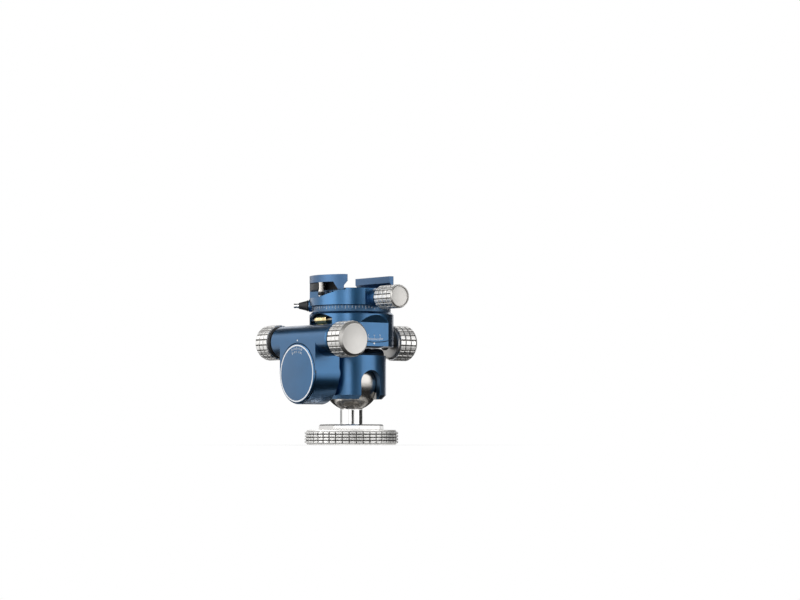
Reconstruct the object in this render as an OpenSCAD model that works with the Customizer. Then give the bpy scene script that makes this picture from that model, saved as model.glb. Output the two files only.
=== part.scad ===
// Geared tripod head: a ball base, a worm-geared tilt, a worm-geared arc tilt, a pan scale and a
// quick-release clamp. Millimetres, +Z up, origin at the centre of the base's foot, dial facing -Y.

/* [Base] */
// Radius of the ribbed base ring
base_r = 29.5; // [27:0.5:34]
// Height of the base ring
base_h = 9.5; // [8:0.5:14]
// Plain lip above and below the ring's ribs
base_lip = 0.9; // [0.5:0.1:1.5]
// Ribs round the base ring
base_ribs = 52; // [30:1:70]
// Rows of pads on the base ring
base_rows = 3; // [1:1:4]
// Distance across the flats of the eight-sided base plate
plate_across = 39; // [34:0.5:44]
// Thickness of the base plate
plate_t = 3.5; // [2.5:0.5:6]
// Bevel round the base plate's top
plate_bevel = 0.9; // [0.5:0.1:1.5]
// Radius of the tripod thread's bore
thread_r = 4; // [3:0.1:5]
// Outer radius of the thread insert
insert_r = 7; // [6:0.5:9]
// Length of the thread insert
insert_len = 8; // [6:0.5:8]

/* [Ball] */
// Radius of the ball
ball_r = 18; // [17:0.5:19]
// Radius of the polished stem
stem_r = 7; // [6:0.5:7.5]
// Bare length of stem between plate and ball
stem_len = 10; // [9:0.5:14]
// Radius of the stem's spigot in the base plate
spigot_r = 5; // [3.5:0.5:5.5]
// Outer radius of the ball housing
housing_r = 21.8; // [21.4:0.2:23]
// Housing rim below the ball's centre
rim_drop = 10.8; // [10:0.2:11.6]
// Housing top above the ball's centre
housing_up = 16.6; // [16:0.2:17]
// Bevel of the housing's lower rim
rim_bevel = 2.5; // [1:0.5:3]
// Height of the seat ring in the housing's mouth
seat_h = 4; // [3:0.5:4.5]
// Outer radius of the seat ring
seat_r = 18; // [17.6:0.2:18.2]
// Side clearance of the stem in the drop notch
notch_gap = 0.3; // [0.2:0.1:0.6]

/* [Ball lock] */
// Radius of the lock knob
lock_r = 9; // [7:0.5:11]
// Length of the lock knob
lock_len = 15; // [12:0.5:18]
// Radius of the lock screw
lock_screw_r = 3; // [2.5:0.5:4]
// Radius of the pressure pad
pad_r = 5; // [4.5:0.5:6]
// Radius of the boss that carries the lock screw
lock_boss_r = 7.5; // [7:0.5:9]
// Reach of that boss from the head's axis
lock_boss_reach = 25.5; // [24:0.5:28]

/* [Geared tilt] */
// Tilt axis above the ball's centre
tilt_up = 5; // [4.6:0.2:5.4]
// Teeth of the worm wheel
wheel_teeth = 40; // [38:1:41]
// Module of the worm wheel
tilt_module = 0.8; // [0.77:0.01:0.82]
// Pitch radius of the tilt worm
tilt_worm_r = 4.4; // [4.2:0.1:4.6]
// Outer radius of the collar round the wheel
collar_r = 19.2; // [18.8:0.2:20.2]
// Length of the collar behind the dial
collar_depth = 17.5; // [17:0.5:20]
// Width of the worm wheel
wheel_w = 7; // [5:0.5:8]
// Radius of the tilt shaft's bearing
tilt_shaft_r = 9; // [8:0.5:11]
// Depth of the recess round the dial
dial_recess = 1; // [0.6:0.1:1.4]
// Thickness of the dial disc
dial_t = 1.2; // [0.8:0.1:2]
// Outer radius of the cross tube
tube_r = 10; // [9.4:0.2:10.4]
// Half length of the cross tube
tube_half = 30; // [28:0.5:34]
// Radius of the curved hub over the ball
hub_r = 16.8; // [16.4:0.1:16.8]
// Gap between the hub and the shelf over it
hub_gap = 0.4; // [0.3:0.1:0.6]

/* [Knobs] */
// Radius of the tilt knobs
knob_r = 11.2; // [10.6:0.2:12]
// Length of the tilt knobs
knob_len = 15.2; // [13:0.2:17]
// Ribs round a tilt knob
knob_ribs = 20; // [14:1:28]
// Rows of pads on a tilt knob
knob_rows = 3; // [1:1:4]
// Depth of the ribs on every knob and on the base
rib_deep = 0.9; // [0.5:0.1:1.2]
// Width of the grooves between pad rows
pad_groove = 0.7; // [0.4:0.1:1]
// Depth of the hollow in a knob's end
dish_deep = 0.6; // [0.3:0.1:1]
// Radius of the tilt worm's shaft
worm_shaft_r = 3.4; // [3:0.1:3.5]
// Radius of the arc worm's shaft
arc_shaft_r = 2.2; // [1.8:0.1:2.4]

/* [Arc tilt] */
// Teeth that a whole circle of the arc rack would have
rack_teeth = 130; // [128:1:134]
// Module of the arc rack
arc_module = 0.8; // [0.79:0.01:0.81]
// Pitch radius of the arc worm
arc_worm_r = 2.5; // [2.4:0.1:2.6]
// Depth of the guide arc outside the rack's pitch arc
guide_out = 3; // [2.6:0.1:3.2]
// Width of the rack
rack_w = 6; // [4:0.5:7]
// Half angle of the rack
rack_half_angle = 17; // [16.5:0.5:18]
// Radius of the round upper body
body_r = 26.6; // [26:0.2:27]
// Depth of the body's side flats
flat_in = 2.4; // [1.8:0.2:3.2]
// Height of the slide's top above the worm axis
slide_up = 18.5; // [17.8:0.1:19.8]
// Bevel round the slide's top edge
slide_bevel = 1.4; // [0.6:0.2:1.8]
// Height of the side flat's upper edge above the worm axis
flat_up = 11.6; // [11:0.2:12.4]
// Height over which the side flat slopes out to the round
flat_slope = 4.8; // [3:0.2:5]
// Radius of the brass barrel
barrel_r = 2.9; // [2:0.1:3.2]
// Length of the brass barrel
barrel_len = 12; // [8:0.5:14]

/* [Pan and clamp] */
// Radius of the pan post
post_r = 7; // [6:0.2:8]
// Height of the scale ring
scale_h = 4; // [3.8:0.2:6]
// Step from the body in to the scale ring
scale_in = 1.8; // [1.6:0.1:2.6]
// Height of the clamp base, scale ring to clamp floor
clamp_h = 10.6; // [10.6:0.2:13]
// Height of the jaws over the clamp's floor
jaw_h = 8.5; // [8:0.5:12]
// Half width of the dovetail at its foot
dovetail_half = 19.2; // [19:0.1:19.6]
// Overhang of each jaw lip
lip_over = 2.8; // [2:0.1:3.2]
// Height of the upright foot of the dovetail
dovetail_foot = 1.5; // [1:0.1:2]
// Height of the lever's slot
slot_h = 5; // [4.8:0.2:5.6]
// Thickness of the clamp lever
lever_t = 4.2; // [3.4:0.1:4.4]
// Radius of the cam shaft
cam_r = 2.1; // [1.8:0.1:2.2]
// Radius of the pan lock knob
pan_knob_r = 7.4; // [6:0.2:8]
// Length of the pan lock knob
pan_knob_len = 20; // [16:0.5:24]
// Length of the boss behind the pan lock knob
pan_boss_len = 5.6; // [3:0.2:8]
// Radius of the plunger grip's foot
plunger_r = 3.5; // [3:0.1:4]
// Length of the plunger grip
plunger_len = 6.2; // [5:0.1:8]

/* [Clearances] */
// Radial play of a turning or sliding fit
fit_play = 0.04; // [0.02:0.01:0.08]
// Radial play of a fixed fit
seat_play = 0.02; // [0.01:0.01:0.05]
// Gap between curved or flat faces that move past each other
run_gap = 0.4; // [0.3:0.05:0.5]
// Play on each side of a worm thread in the gaps between teeth
tooth_play = 0.36; // [0.3:0.02:0.4]

/* [Hidden] */
$fn = 96;
EPS = 0.5;
PRESSURE = 20;
ADD = 0.6;
DED = 1;
groove_share = 0.85;
end_step = 0.25;
collar_bevel = 0.8;

plate_top = base_h + plate_t;
plate_corner = plate_across / 2 / cos(22.5);
ball_z = plate_top + stem_len + sqrt(ball_r * ball_r - stem_r * stem_r);
cavity_r = ball_r + 0.3;
rim_z = ball_z - rim_drop;
housing_top = ball_z + housing_up;
notch_half = stem_r + notch_gap;

tilt_z = ball_z + tilt_up;
wheel_r = wheel_teeth * tilt_module / 2;
worm_z = tilt_z + wheel_r + tilt_worm_r;
cavity_wheel_r = wheel_r + ADD * tilt_module + run_gap;
worm_bore_r = tilt_worm_r + ADD * tilt_module + run_gap;
neck_len = 1.2;
boss_front = housing_r + neck_len;
collar_back = boss_front + 0.2;
collar_wall = 3;
block_front = collar_back + collar_depth;
face_front = block_front + dial_recess;
wheel_y = face_front - tube_r;
hub_boss_r = 12.6;
tail_r = 5;
wheel_seat_r = 7;
shelf_z = tilt_z + hub_r + hub_gap;

rack_r = rack_teeth * arc_module / 2;
arc_z = worm_z + arc_worm_r + rack_r;
slide_arc = rack_r + guide_out;
cradle_arc = slide_arc + run_gap;
ridge_half = 5;
ridge_arc = rack_r + ADD * arc_module + run_gap;
roof_arc = rack_r - DED * arc_module - 0.2;
rack_back = rack_r - 3.4;
tunnel_r = arc_worm_r + ADD * arc_module + 0.32;
tongue_x = 16;
tongue_neck = 1.4;
tongue_foot = 2.8;
tongue_deep = 1.6;
tongue_angle = 10.5;
groove_angle = 21.2;
arc_travel = 10;
flat_x = body_r - flat_in;
scale_r = body_r - scale_in;
knob_y = body_r + 3.4;
end_flat_y = body_r - 0.6;

slide_top = worm_z + slide_up;
scale_top = slide_top + scale_h;
floor_z = scale_top + clamp_h;
jaw_top = floor_z + jaw_h;
jaw_shelf = floor_z - 1.1;
slot_top = jaw_shelf + slot_h;
jaw_wall_y = dovetail_half + 1.2;
cam_x = 1;
cam_y = jaw_wall_y + 3.6;
head_z = slide_top - 9;
head_h = 2.6;
head_r = 9;
washer_t = 1;
post_top = floor_z - 3.4;
pan_knob_z = scale_top + 4.4;
pan_flat_x = body_r - 1.2;
pan_knob_x = pan_flat_x + pan_boss_len;
plunger_z = scale_top + 0.6;
plunger_angle = -129;
plunger_reach = body_r + 0.4;

// Round rods that start at a point and run along an axis
module rod_x(at, r, len) { translate(at) rotate([0, 90, 0]) cylinder(r = r, h = len); }
module rod_y(at, r, len) { translate(at) rotate([-90, 0, 0]) cylinder(r = r, h = len); }
module rod_z(at, r, len) { translate(at) cylinder(r = r, h = len); }

// A box given by its low and high corners
module block(low, high) { translate(low) cube(high - low); }

// Outline of a ribbed rim: flat pads with valleys between
function rib_points(r, n, deep) = [
    for (i = [0 : n - 1]) for (k = [0 : 3])
        let (turn = [-0.30, 0.30, 0.38, 0.62][k], reach = k < 2 ? r : r - deep)
            reach * [cos(360 / n * (i + turn)), sin(360 / n * (i + turn))]];

// Ribs cut into rows of pads by grooves round the rim
module ribbed(r, h, n, rows) {
    difference() {
        linear_extrude(h) polygon(rib_points(r, n, rib_deep));
        for (row = [1 : 1 : rows - 1])
            translate([0, 0, row * h / rows - pad_groove / 2]) rotate_extrude()
                translate([r - groove_share * rib_deep, 0]) square([rib_deep + EPS, pad_groove]);
    }
}

// A ribbed knob on +Z: smooth collar, rows of pads, bevelled end with a shallow hollow, blind bore for its shaft
module knob(r, len, ribs, rows, collar_len, end_len, bevel, bore_r, bore_len) {
    inner = r - rib_deep - end_step;
    outer = r - end_step;
    dish_r = outer - bevel - end_step;
    dish_ball = (dish_r * dish_r + dish_deep * dish_deep) / (2 * dish_deep);
    difference() {
        union() {
            cylinder(r1 = inner - collar_bevel, r2 = inner, h = collar_len);
            translate([0, 0, collar_len]) ribbed(r, len - collar_len - end_len, ribs, rows);
            translate([0, 0, len - end_len]) cylinder(r1 = outer, r2 = outer - bevel, h = end_len);
        }
        translate([0, 0, len - dish_deep + dish_ball]) sphere(r = dish_ball);
        translate([0, 0, -EPS]) cylinder(r = bore_r, h = bore_len + EPS);
    }
}

// Half thickness of a tooth or thread at a height above its pitch line
function half_tooth(module_mm, up) = (PI * module_mm / 2 - tooth_play) / 2 - up * tan(PRESSURE);

// The four corners of tooth i on a rim, with a gap centred on the angle "from"
function tooth_points(r, n, module_mm, from, i) = [
    for (k = [0 : 3])
        let (up = (k == 0 || k == 3) ? -DED * module_mm : ADD * module_mm,
             side = k < 2 ? -1 : 1,
             turn = from + 360 / n * (i + 0.5) + side * half_tooth(module_mm, up) / r * 180 / PI)
            (r + up) * [cos(turn), sin(turn)]];

// One helical thread about Z, centred on z = 0 at angle 0, its root sunk in the core
module worm_thread(r, module_mm, turns) {
    per_turn = 24;
    steps = turns * per_turn;
    lead = PI * module_mm;
    sink = DED * module_mm + 0.25;
    tip = ADD * module_mm;
    points = [for (i = [0 : steps]) for (k = [0 : 3])
        let (turn = (i - steps / 2) * 360 / per_turn,
             up = (k == 0 || k == 3) ? -sink : tip,
             side = k < 2 ? -1 : 1)
            [(r + up) * cos(turn), (r + up) * sin(turn), lead * turn / 360 + side * half_tooth(module_mm, up)]];
    sides = [for (i = [0 : steps - 1]) for (k = [0 : 3]) for (half = [0, 1])
        let (a = 4 * i + k, b = 4 * i + (k + 1) % 4)
            half == 0 ? [a, b, a + 4] : [b, b + 4, a + 4]];
    last = 4 * steps;
    ends = [[0, 2, 1], [0, 3, 2], [last, last + 1, last + 2], [last, last + 2, last + 3]];
    polyhedron(points, concat(sides, ends));
}

// A profile of (radius, x) points swept about the arc tilt's axis, 0 degrees pointing down
module arc_sweep(from, to, profile) {
    translate([0, 0, arc_z]) rotate([0, 90, 0]) rotate([0, 0, from])
        rotate_extrude(angle = to - from) polygon(profile);
}

// The slot that lets the stem drop to the side
module drop_notch() {
    block([0, -notch_half, rim_z - EPS], [housing_r + EPS, notch_half, ball_z]);
    rod_x([0, 0, ball_z], notch_half, housing_r + EPS);
}

// Base and ball
module base_ring() color("silver") difference() {
    union() {
        cylinder(r = base_r - rib_deep - 0.5, h = base_h);
        translate([0, 0, base_lip]) ribbed(base_r, base_h - 2 * base_lip, base_ribs, base_rows);
    }
    rod_z([0, 0, -EPS], insert_r + seat_play, base_h + 2 * EPS);
}

module thread_insert() color("gray") difference() {
    cylinder(r = insert_r, h = insert_len);
    rod_z([0, 0, -EPS], thread_r, insert_len + 2 * EPS);
}

module base_plate() color("silver") difference() {
    translate([0, 0, base_h]) rotate([0, 0, 22.5]) union() {
        cylinder(r = plate_corner, h = plate_t - plate_bevel, $fn = 8);
        translate([0, 0, plate_t - plate_bevel])
            cylinder(r1 = plate_corner, r2 = plate_corner - plate_bevel, h = plate_bevel, $fn = 8);
    }
    rod_z([0, 0, base_h - EPS], spigot_r + fit_play, plate_t + 2 * EPS);
}

module ball_stem() color("lightgray") union() {
    translate([0, 0, ball_z]) sphere(r = ball_r);
    rod_z([0, 0, plate_top], stem_r, ball_z - plate_top - ball_r / 2);
    rod_z([0, 0, insert_len + 0.3], spigot_r, plate_top - insert_len);
}

// Ball housing and what sits in it
module ball_housing() color("steelblue") difference() {
    union() {
        rod_z([0, 0, rim_z + rim_bevel], housing_r, housing_top - rim_z - rim_bevel);
        translate([0, 0, rim_z]) cylinder(r1 = housing_r - rim_bevel, r2 = housing_r, h = rim_bevel);
        intersection() {
            rod_y([0, -boss_front, tilt_z], hub_boss_r, boss_front);
            block([-hub_boss_r, -boss_front, rim_z], [hub_boss_r, 0, housing_top]);
        }
        rod_x([-lock_boss_reach, 0, ball_z], lock_boss_r, lock_boss_reach);
    }
    translate([0, 0, ball_z]) sphere(r = cavity_r);
    rod_z([0, 0, rim_z - EPS], seat_r + seat_play, seat_h + EPS + seat_play);
    drop_notch();
    rod_y([0, -boss_front - EPS, tilt_z], wheel_seat_r + seat_play, boss_front - cavity_r - 1 + EPS);
    rod_x([-housing_r, 0, ball_z], pad_r + seat_play, housing_r);
    rod_x([-lock_boss_reach - EPS, 0, ball_z], lock_screw_r + fit_play, lock_boss_reach);
    hub_screw_places(housing_top - hub_screw_grip, hub_screw_r + seat_play, hub_screw_grip + EPS);
}

module seat_ring() color("white") difference() {
    rod_z([0, 0, rim_z], seat_r, seat_h);
    translate([0, 0, ball_z]) sphere(r = cavity_r);
    drop_notch();
}

module pressure_pad() color("white") difference() {
    rod_x([-housing_r + 0.3, 0, ball_z], pad_r, housing_r - ball_r / 2);
    translate([0, 0, ball_z]) sphere(r = cavity_r);
}

module lock_screw() color("gray")
    rod_x([-lock_boss_reach - lock_len + knob_cap, 0, ball_z], lock_screw_r, lock_boss_reach + lock_len - knob_cap - housing_r);

lock_ribs = 16;
lock_rows = 2;
lock_collar = 2;
lock_end = 2.2;
lock_bevel = 1.2;
module lock_knob() color("silver")
    translate([-lock_boss_reach - run_gap, 0, ball_z]) rotate([0, -90, 0])
        knob(lock_r, lock_len, lock_ribs, lock_rows, lock_collar, lock_end, lock_bevel,
             lock_screw_r + seat_play, lock_len - knob_cap);

// Curved hub that carries the shelf, and its screws
hub_screw_r = 1.25;
hub_head_r = 2.2;
hub_head_h = 2;
hub_flange = 1.4;
hub_screw_tip = 0.3;
hub_screw_x = 4;
hub_screw_y = housing_r - 7.8;
ball_clear = 0.5;
hub_screw_in = sqrt(pow(hub_screw_x, 2) + pow(hub_screw_y, 2)) - hub_screw_r;
hub_screw_low = ball_z + sqrt(max(0, pow(ball_r + ball_clear, 2) - pow(hub_screw_in, 2)));
hub_screw_grip = housing_top + hub_screw_tip - hub_screw_low;
module hub_screw_places(z, r, len)
    for (x = [-1, 1]) for (y = [-1, 1]) rod_z([x * hub_screw_x, y * hub_screw_y, z], r, len);

module tilt_hub() color("lightslategray") difference() {
    intersection() {
        rod_y([0, -housing_r, tilt_z], hub_r, 2 * housing_r);
        rod_z([0, 0, housing_top], housing_r - 1.2, hub_r);
    }
    translate([0, 0, ball_z]) sphere(r = cavity_r);
    hub_screw_places(housing_top - EPS, hub_screw_r + seat_play, hub_r);
    hub_screw_places(housing_top + hub_flange, hub_head_r + seat_play, hub_r);
}

module hub_screws() color("dimgray") {
    for (x = [-1, 1]) for (y = [-1, 1]) translate([x * hub_screw_x, y * hub_screw_y, housing_top]) union() {
        rod_z([0, 0, hub_screw_tip - hub_screw_grip], hub_screw_r, hub_screw_grip + hub_flange - hub_screw_tip);
        rod_z([0, 0, hub_flange], hub_head_r, hub_head_h);
    }
}

// Tilt axis: shaft, worm wheel and dial stay with the housing
module tilt_shaft() color("silver") union() {
    rod_y([0, -boss_front, tilt_z], wheel_seat_r, boss_front - cavity_r - 1);
    rod_y([0, -collar_back - collar_wall - 1, tilt_z], tilt_shaft_r, 1 + collar_wall + collar_back - boss_front);
    rod_y([0, -wheel_y - wheel_w / 2, tilt_z], wheel_seat_r, wheel_y + wheel_w / 2 - collar_back - collar_wall);
    rod_y([0, -block_front + 0.4, tilt_z], tail_r, block_front - 0.4 - wheel_y);
}

module tilt_wheel() color("darkgoldenrod") difference() {
    translate([0, -wheel_y + wheel_w / 2, tilt_z]) rotate([90, 0, 0]) linear_extrude(wheel_w)
        polygon([for (i = [0 : wheel_teeth - 1]) each tooth_points(wheel_r, wheel_teeth, tilt_module, 90, i)]);
    rod_y([0, -wheel_y - wheel_w, tilt_z], wheel_seat_r + seat_play, 2 * wheel_w);
}

dial_back = block_front + 0.3;
dial_r = collar_r - 0.4;
dial_bevel = 0.5;
dial_spigot = 2;
module tilt_dial() color("royalblue") difference() {
    union() {
        translate([0, -dial_back - dial_t, tilt_z]) rotate([-90, 0, 0])
            cylinder(r1 = dial_r - dial_bevel, r2 = dial_r, h = dial_bevel);
        rod_y([0, -dial_back - dial_t + dial_bevel, tilt_z], dial_r, dial_t - dial_bevel);
        rod_y([0, -dial_back, tilt_z], cavity_wheel_r - run_gap, dial_spigot);
    }
    rod_y([0, -dial_back, tilt_z], tail_r + seat_play, dial_spigot + EPS);
}

// Tilt block: collar, cross tube, shelf and arc cradle in one piece
bridge_in = 15;
bridge_up = 8;
tube_bevel = 0.8;
cradle_h = 16;
set_r = 1.6;
set_x = tube_half - 6;
function tongue(x, gap) = [
    [slide_arc - 1, x - tongue_neck - gap], [slide_arc - 1, x + tongue_neck + gap],
    [slide_arc, x + tongue_neck + gap], [slide_arc + tongue_deep + gap, x + tongue_foot + gap],
    [slide_arc + tongue_deep + gap, x - tongue_foot - gap], [slide_arc, x - tongue_neck - gap]];

module cross_tube() translate([0, -wheel_y, worm_z]) rotate([0, 90, 0]) {
    rod_z([0, 0, tube_bevel - tube_half], tube_r, 2 * (tube_half - tube_bevel));
    for (side = [0, 1]) mirror([0, 0, side]) translate([0, 0, tube_half - tube_bevel])
        cylinder(r1 = tube_r, r2 = tube_r - tube_bevel, h = tube_bevel);
}

module tilt_block() color("steelblue") difference() {
    union() {
        rod_y([0, -block_front, tilt_z], collar_r, block_front - collar_back);
        block([-collar_r, -face_front, tilt_z], [collar_r, -collar_back, worm_z]);
        block([-collar_r, -wheel_y, shelf_z], [collar_r, -bridge_in, worm_z + bridge_up]);
        cross_tube();
        intersection() {
            rod_z([0, 0, shelf_z], body_r, cradle_h);
            block([-flat_x, -body_r, shelf_z], [flat_x, end_flat_y, shelf_z + cradle_h]);
        }
    }
    for (x = [ridge_half, -flat_x - 1]) rod_x([x, 0, arc_z], cradle_arc, flat_x + 1 - ridge_half);
    rod_x([-ridge_half, 0, arc_z], ridge_arc, 2 * ridge_half);
    for (side = [-1, 1]) arc_sweep(-groove_angle, 45, tongue(side * tongue_x, 0.75 * run_gap));
    rod_y([0, -face_front - EPS, tilt_z], collar_r, dial_recess + EPS);
    rod_y([0, -block_front - EPS, tilt_z], cavity_wheel_r, block_front + EPS - collar_back - collar_wall);
    rod_y([0, -collar_back - collar_wall - EPS, tilt_z], tilt_shaft_r + fit_play, collar_wall + 2 * EPS);
    rod_x([-tube_half - EPS, -wheel_y, worm_z], worm_bore_r, 2 * (tube_half + EPS));
    rod_y([0, -6.5, worm_z], tunnel_r, end_flat_y + 7);
    rod_y([0, -11, worm_z], arc_shaft_r + fit_play, 5);
    rod_z([-set_x, -wheel_y, worm_z], set_r + seat_play, tube_r + EPS);
}

bush_len = 8;
bush_flange_r = tube_r - 1.2;
bush_flange_t = 1.6;
module worm_bushes() color("dimgray")
    for (side = [-1, 1]) translate([0, -wheel_y, worm_z]) rotate([0, 90 * side, 0]) difference() {
        union() {
            rod_z([0, 0, tube_half - bush_len], worm_bore_r - seat_play, bush_len);
            rod_z([0, 0, tube_half], bush_flange_r, bush_flange_t);
        }
        rod_z([0, 0, tube_half - bush_len - EPS], worm_shaft_r + fit_play, bush_len + bush_flange_t + 2 * EPS);
    }

module setting_screw() color("dimgray")
    rod_z([-set_x, -wheel_y, worm_z + worm_bore_r + seat_play], set_r, tube_r - worm_bore_r - 2.4);

// Tilt worm with a knob on each end
knob_x = tube_half + bush_flange_t + run_gap;
knob_cap = 3;
knob_collar = 1;
knob_end = 3.2;
knob_bevel = 1.4;
module tilt_worm() color("silver") translate([0, -wheel_y, worm_z]) rotate([0, 90, 0]) union() {
    rod_z([0, 0, -knob_x - knob_len + knob_cap + 0.3], worm_shaft_r, 2 * (knob_x + knob_len - knob_cap - 0.3));
    rod_z([0, 0, -7], tilt_worm_r - DED * tilt_module, 14);
    worm_thread(tilt_worm_r, tilt_module, 4);
}

module tilt_knob(side) translate([side * knob_x, -wheel_y, worm_z]) rotate([0, 90 * side, 0])
    knob(knob_r, knob_len, knob_ribs, knob_rows, knob_collar, knob_end, knob_bevel,
         worm_shaft_r + seat_play, knob_len - knob_cap);

module front_knob() color("silver") tilt_knob(1);
module left_knob() color("silver") tilt_knob(-1);

// Arc slide and its toothed rack
barrel_y = body_r - 5.2;
barrel_z = worm_z + 13.6;
barrel_left = -6.5;
recess_half = 12;
recess_gap = 0.4;
recess_arch = 24;
recess_roof = 0.9;
axle_r = 1;
axle_half = recess_half + 1.6;
module side_flat() translate([0, body_r + EPS, 0]) rotate([90, 0, 0]) linear_extrude(2 * (body_r + EPS))
    polygon([[flat_x, shelf_z - EPS], [body_r + EPS, shelf_z - EPS],
             [body_r + EPS, worm_z + flat_up + flat_slope * (body_r + EPS - flat_x) / (body_r - flat_x)],
             [flat_x, worm_z + flat_up]]);

module gonio_slide() color("steelblue") difference() {
    union() {
        intersection() {
            union() {
                rod_z([0, 0, shelf_z], body_r, slide_top - slide_bevel - shelf_z);
                translate([0, 0, slide_top - slide_bevel])
                    cylinder(r1 = body_r, r2 = body_r - slide_bevel, h = slide_bevel);
            }
            rod_x([-body_r - EPS, 0, arc_z], slide_arc, 2 * (body_r + EPS));
        }
        for (side = [-1, 1]) arc_sweep(-tongue_angle, tongue_angle, tongue(side * tongue_x, 0));
    }
    side_flat();
    mirror([1, 0, 0]) side_flat();
    arc_sweep(-60, 60, [[roof_arc, -ridge_half - run_gap], [slide_arc + 2, -ridge_half - run_gap],
                        [slide_arc + 2, ridge_half + run_gap], [roof_arc, ridge_half + run_gap]]);
    arc_sweep(-rack_half_angle - 0.2, rack_half_angle + 0.2,
              [[rack_back, -rack_w / 2 - seat_play], [roof_arc + EPS, -rack_w / 2 - seat_play],
               [roof_arc + EPS, rack_w / 2 + seat_play], [rack_back, rack_w / 2 + seat_play]]);
    rod_z([0, 0, shelf_z - EPS], head_r + run_gap, head_z + head_h + seat_play - shelf_z + EPS);
    rod_z([0, 0, head_z], post_r + seat_play, slide_top - head_z + EPS);
    intersection() {
        block([-recess_half, -body_r - EPS, barrel_z - barrel_r - recess_gap],
              [recess_half, recess_gap + barrel_r - barrel_y, slide_top]);
        rod_y([0, -body_r - EPS, slide_top - recess_roof - recess_arch], recess_arch, body_r);
    }
    rod_x([-axle_half, -barrel_y, barrel_z], axle_r + seat_play, 2 * axle_half);
    for (a = [0, -arc_travel / 2, -arc_travel]) translate([0, 0, arc_z]) rotate([a, 0, 0])
        rod_y([0, knob_y - 0.8, worm_z - arc_z], knob_r + 1, knob_len + 3);
}

module gonio_rack() color("darkgray") {
    pitch = 360 / rack_teeth;
    half = floor(rack_half_angle / pitch);
    back = rack_back + 0.08;
    translate([-rack_w / 2, 0, arc_z]) rotate([0, 90, 0]) linear_extrude(rack_w)
        polygon(concat([for (i = [-half : half - 1]) each tooth_points(rack_r, rack_teeth, arc_module, 0, i)],
                       [for (i = [half : -1 : -half]) back * [cos(i * pitch), sin(i * pitch)]]));
}

module brass_barrel() color("gold") difference() {
    rod_x([barrel_left, -barrel_y, barrel_z], barrel_r, barrel_len);
    rod_x([barrel_left - EPS, -barrel_y, barrel_z], axle_r + seat_play, barrel_len + 2 * EPS);
}

module barrel_screw() color("silver")
    rod_x([-axle_half, -barrel_y, barrel_z], axle_r, 2 * axle_half);

// Arc worm, its bush and its knob
arc_flange_r = 4.6;
arc_flange_t = 0.8;
arc_bush_len = 6;
module arc_bush() color("dimgray") difference() {
    union() {
        rod_y([0, end_flat_y - arc_bush_len, worm_z], tunnel_r - seat_play, arc_bush_len);
        rod_y([0, end_flat_y, worm_z], arc_flange_r, arc_flange_t);
    }
    rod_y([0, end_flat_y - arc_bush_len - EPS, worm_z], arc_shaft_r + fit_play, arc_bush_len + 2);
}

module gonio_worm() color("silver") union() {
    rod_y([0, -10.4, worm_z], arc_shaft_r, 4.4);
    rod_y([0, -6, worm_z], arc_worm_r - DED * arc_module, 12);
    rod_y([0, 6, worm_z], arc_shaft_r, knob_y + knob_len - knob_cap - 0.3 - 6);
    translate([0, 0, worm_z]) rotate([-90, 0, 0]) rotate([0, 0, -90]) worm_thread(arc_worm_r, arc_module, 4);
}

module gonio_knob() color("silver") translate([0, knob_y, worm_z]) rotate([-90, 0, 0])
    knob(knob_r, knob_len, knob_ribs, knob_rows, knob_collar, knob_end, knob_bevel,
         arc_shaft_r + seat_play, knob_len - knob_cap);

// Pan: scale ring and post stay with the slide, the clamp base turns on them
pan_gap = 0.15;
pan_hub_r = 15.5;
pan_screw_r = 2.5;
pan_screw_len = 8;
screw_head_r = 4.2;
screw_head_h = 2;
module scale_ring() color("slategray") difference() {
    rod_z([0, 0, slide_top], scale_r, scale_h);
    rod_z([0, 0, slide_top - EPS], pan_hub_r + run_gap, scale_h + 2 * EPS);
}

module pan_post() color("silver") difference() {
    union() {
        rod_z([0, 0, head_z], head_r, head_h);
        rod_z([0, 0, head_z + head_h], post_r, post_top - head_z - head_h);
    }
    rod_z([0, 0, post_top - pan_screw_len], pan_screw_r + seat_play, pan_screw_len + EPS);
}

module post_washer() color("gray") difference() {
    rod_z([0, 0, post_top], head_r, washer_t);
    rod_z([0, 0, post_top - EPS], pan_screw_r + seat_play, washer_t + 2 * EPS);
}

module post_screw() color("dimgray") difference() {
    union() {
        rod_z([0, 0, post_top - pan_screw_len + 0.4], pan_screw_r, pan_screw_len + washer_t - 0.4);
        rod_z([0, 0, post_top + washer_t], screw_head_r, screw_head_h);
    }
    translate([0, 0, post_top + washer_t + 0.6]) cylinder(r = 2, h = screw_head_h, $fn = 6);
}

// Clamp base with its radial lock and the boss of the index plunger
brake_r = 2.6;
brake_len = 3.2;
boss_r = 4;
pan_boss_r = 6;
scoop_deep = 4.4;
scoop_foot = 2;
scoop_end = 17.7;
pin_r = 1.5;
foot_half = 8;
foot_deep = 4;
rod_r = 1.5;
rod_x_place = 5.5;
rod_in = 11.5;
jaw_screw_r = 1.5;
jaw_head_r = 1.9;
jaw_head_h = 2.6;
jaw_head_in = 0.2;
jaw_screw_bite = 1.6;
jaw_travel = 2.2;
foot_in = dovetail_half + 0.1;
foot_out = dovetail_half + 2;
rod_height = jaw_shelf - foot_deep / 2;
jaw_screw_y = dovetail_half + 1.7;
jaw_screw_x = sqrt(pow(body_r - 2.4, 2) - pow(jaw_screw_y, 2));
module jaw_screw_places(z, r, len) for (side = [-1, 1]) rod_z([side * jaw_screw_x, jaw_screw_y, z], r, len);

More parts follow.
